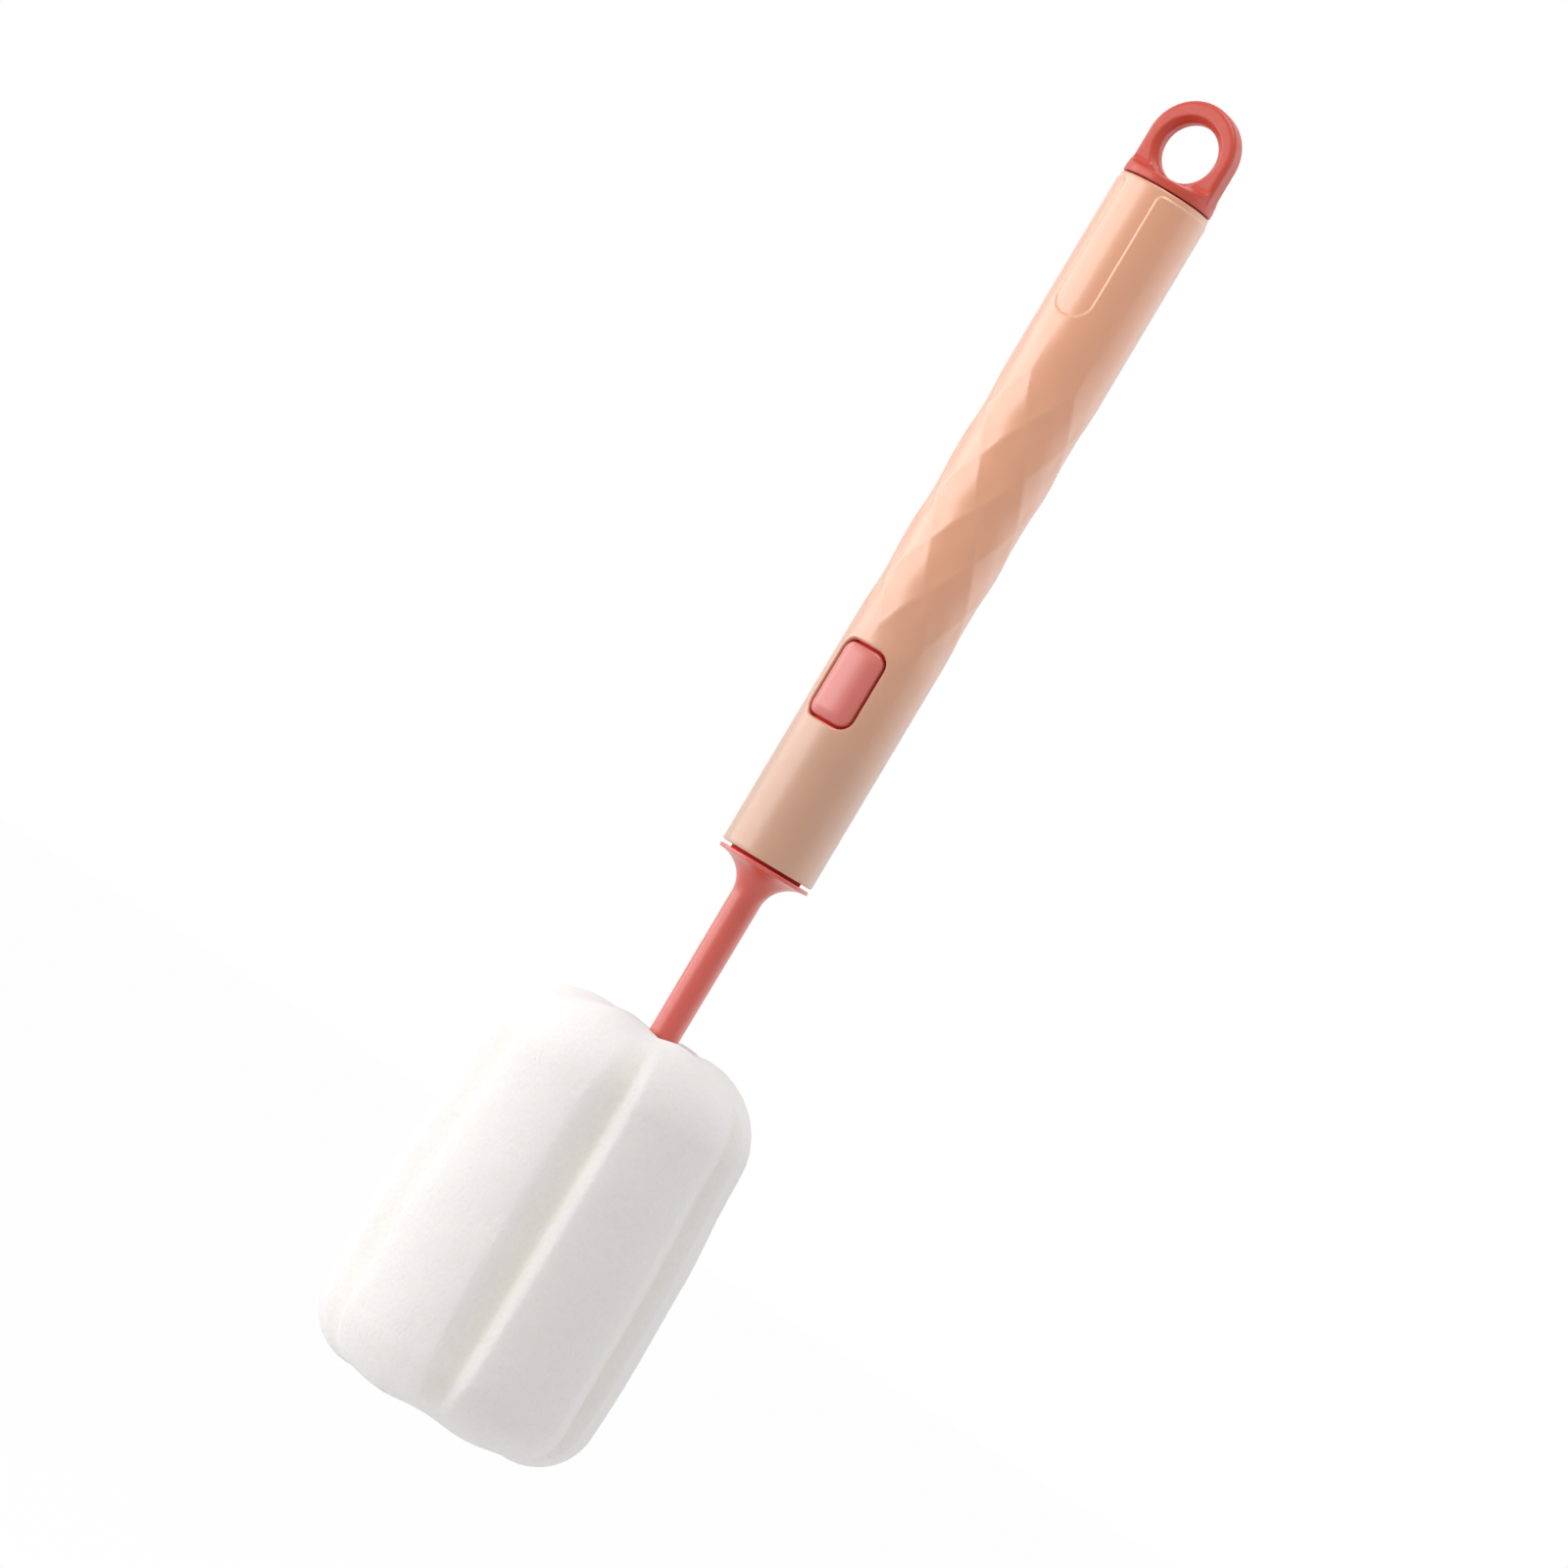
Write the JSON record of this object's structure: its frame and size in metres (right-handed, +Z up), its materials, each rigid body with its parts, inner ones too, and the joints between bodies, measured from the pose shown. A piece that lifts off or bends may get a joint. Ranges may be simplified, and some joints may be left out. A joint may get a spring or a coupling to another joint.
{
  "type": "extendable sponge cup brush",
  "caption": "Cup brush with a lobed foam sponge on a sliding stem, a faceted tube handle with a push-button brake, and a hang eye.",
  "frame": {"origin": "centre of the hang hole", "axes": "+Z up along the handle with the sponge hanging down, -Y towards the push button and the front of the hang eye, +X across the eye"},
  "size_m": [0.0596, 0.061, 0.2985],
  "materials": {
    "handle": "satin moulded plastic, peach",
    "coral": "satin moulded plastic, coral red",
    "button": "satin moulded plastic, coral pink",
    "white_plastic": "plain moulded plastic, white",
    "rubber": "matte black rubber",
    "steel": "drawn stainless wire and rod",
    "foam": "fine open-cell foam, white"
  },
  "bodies": {
    "handle": {"handle_tube": "handle", "hang_cap": "coral", "guide_sleeve": "coral", "lever_pin": "steel", "lever_spring": "steel"},
    "button": {"push_button": "button"},
    "lever": {"brake_lever": "white_plastic", "brake_pad": "rubber"},
    "extension": {"extension_tube": "coral", "tail_bush": "coral", "friction_ring": "rubber", "neck_stem": "coral", "sponge_core": "white_plastic", "anchor_disc": "white_plastic", "sponge": "foam"}
  },
  "joints": [
    {"name": "button_press", "type": "slide", "parent": "handle", "child": "button", "axis": [0, 1, 0], "range_m": [0, 0.001], "stiffness_N_per_m": 1500, "springref_m": -0.0015},
    {"name": "lever_rock", "type": "hinge", "parent": "handle", "child": "lever", "pos_m": [0, -0.0062, -0.1428], "axis": [-1, 0, 0], "range_deg": [0, 3.83], "deforming": ["lever_spring"]},
    {"name": "extension_slide", "type": "slide", "parent": "handle", "child": "extension", "axis": [0, 0, -1], "range_m": [0, 0.08]}
  ],
  "couplings": [
    {"joint": "lever_rock", "follows": "button_press", "rad_per_m": 66.667}
  ]
}
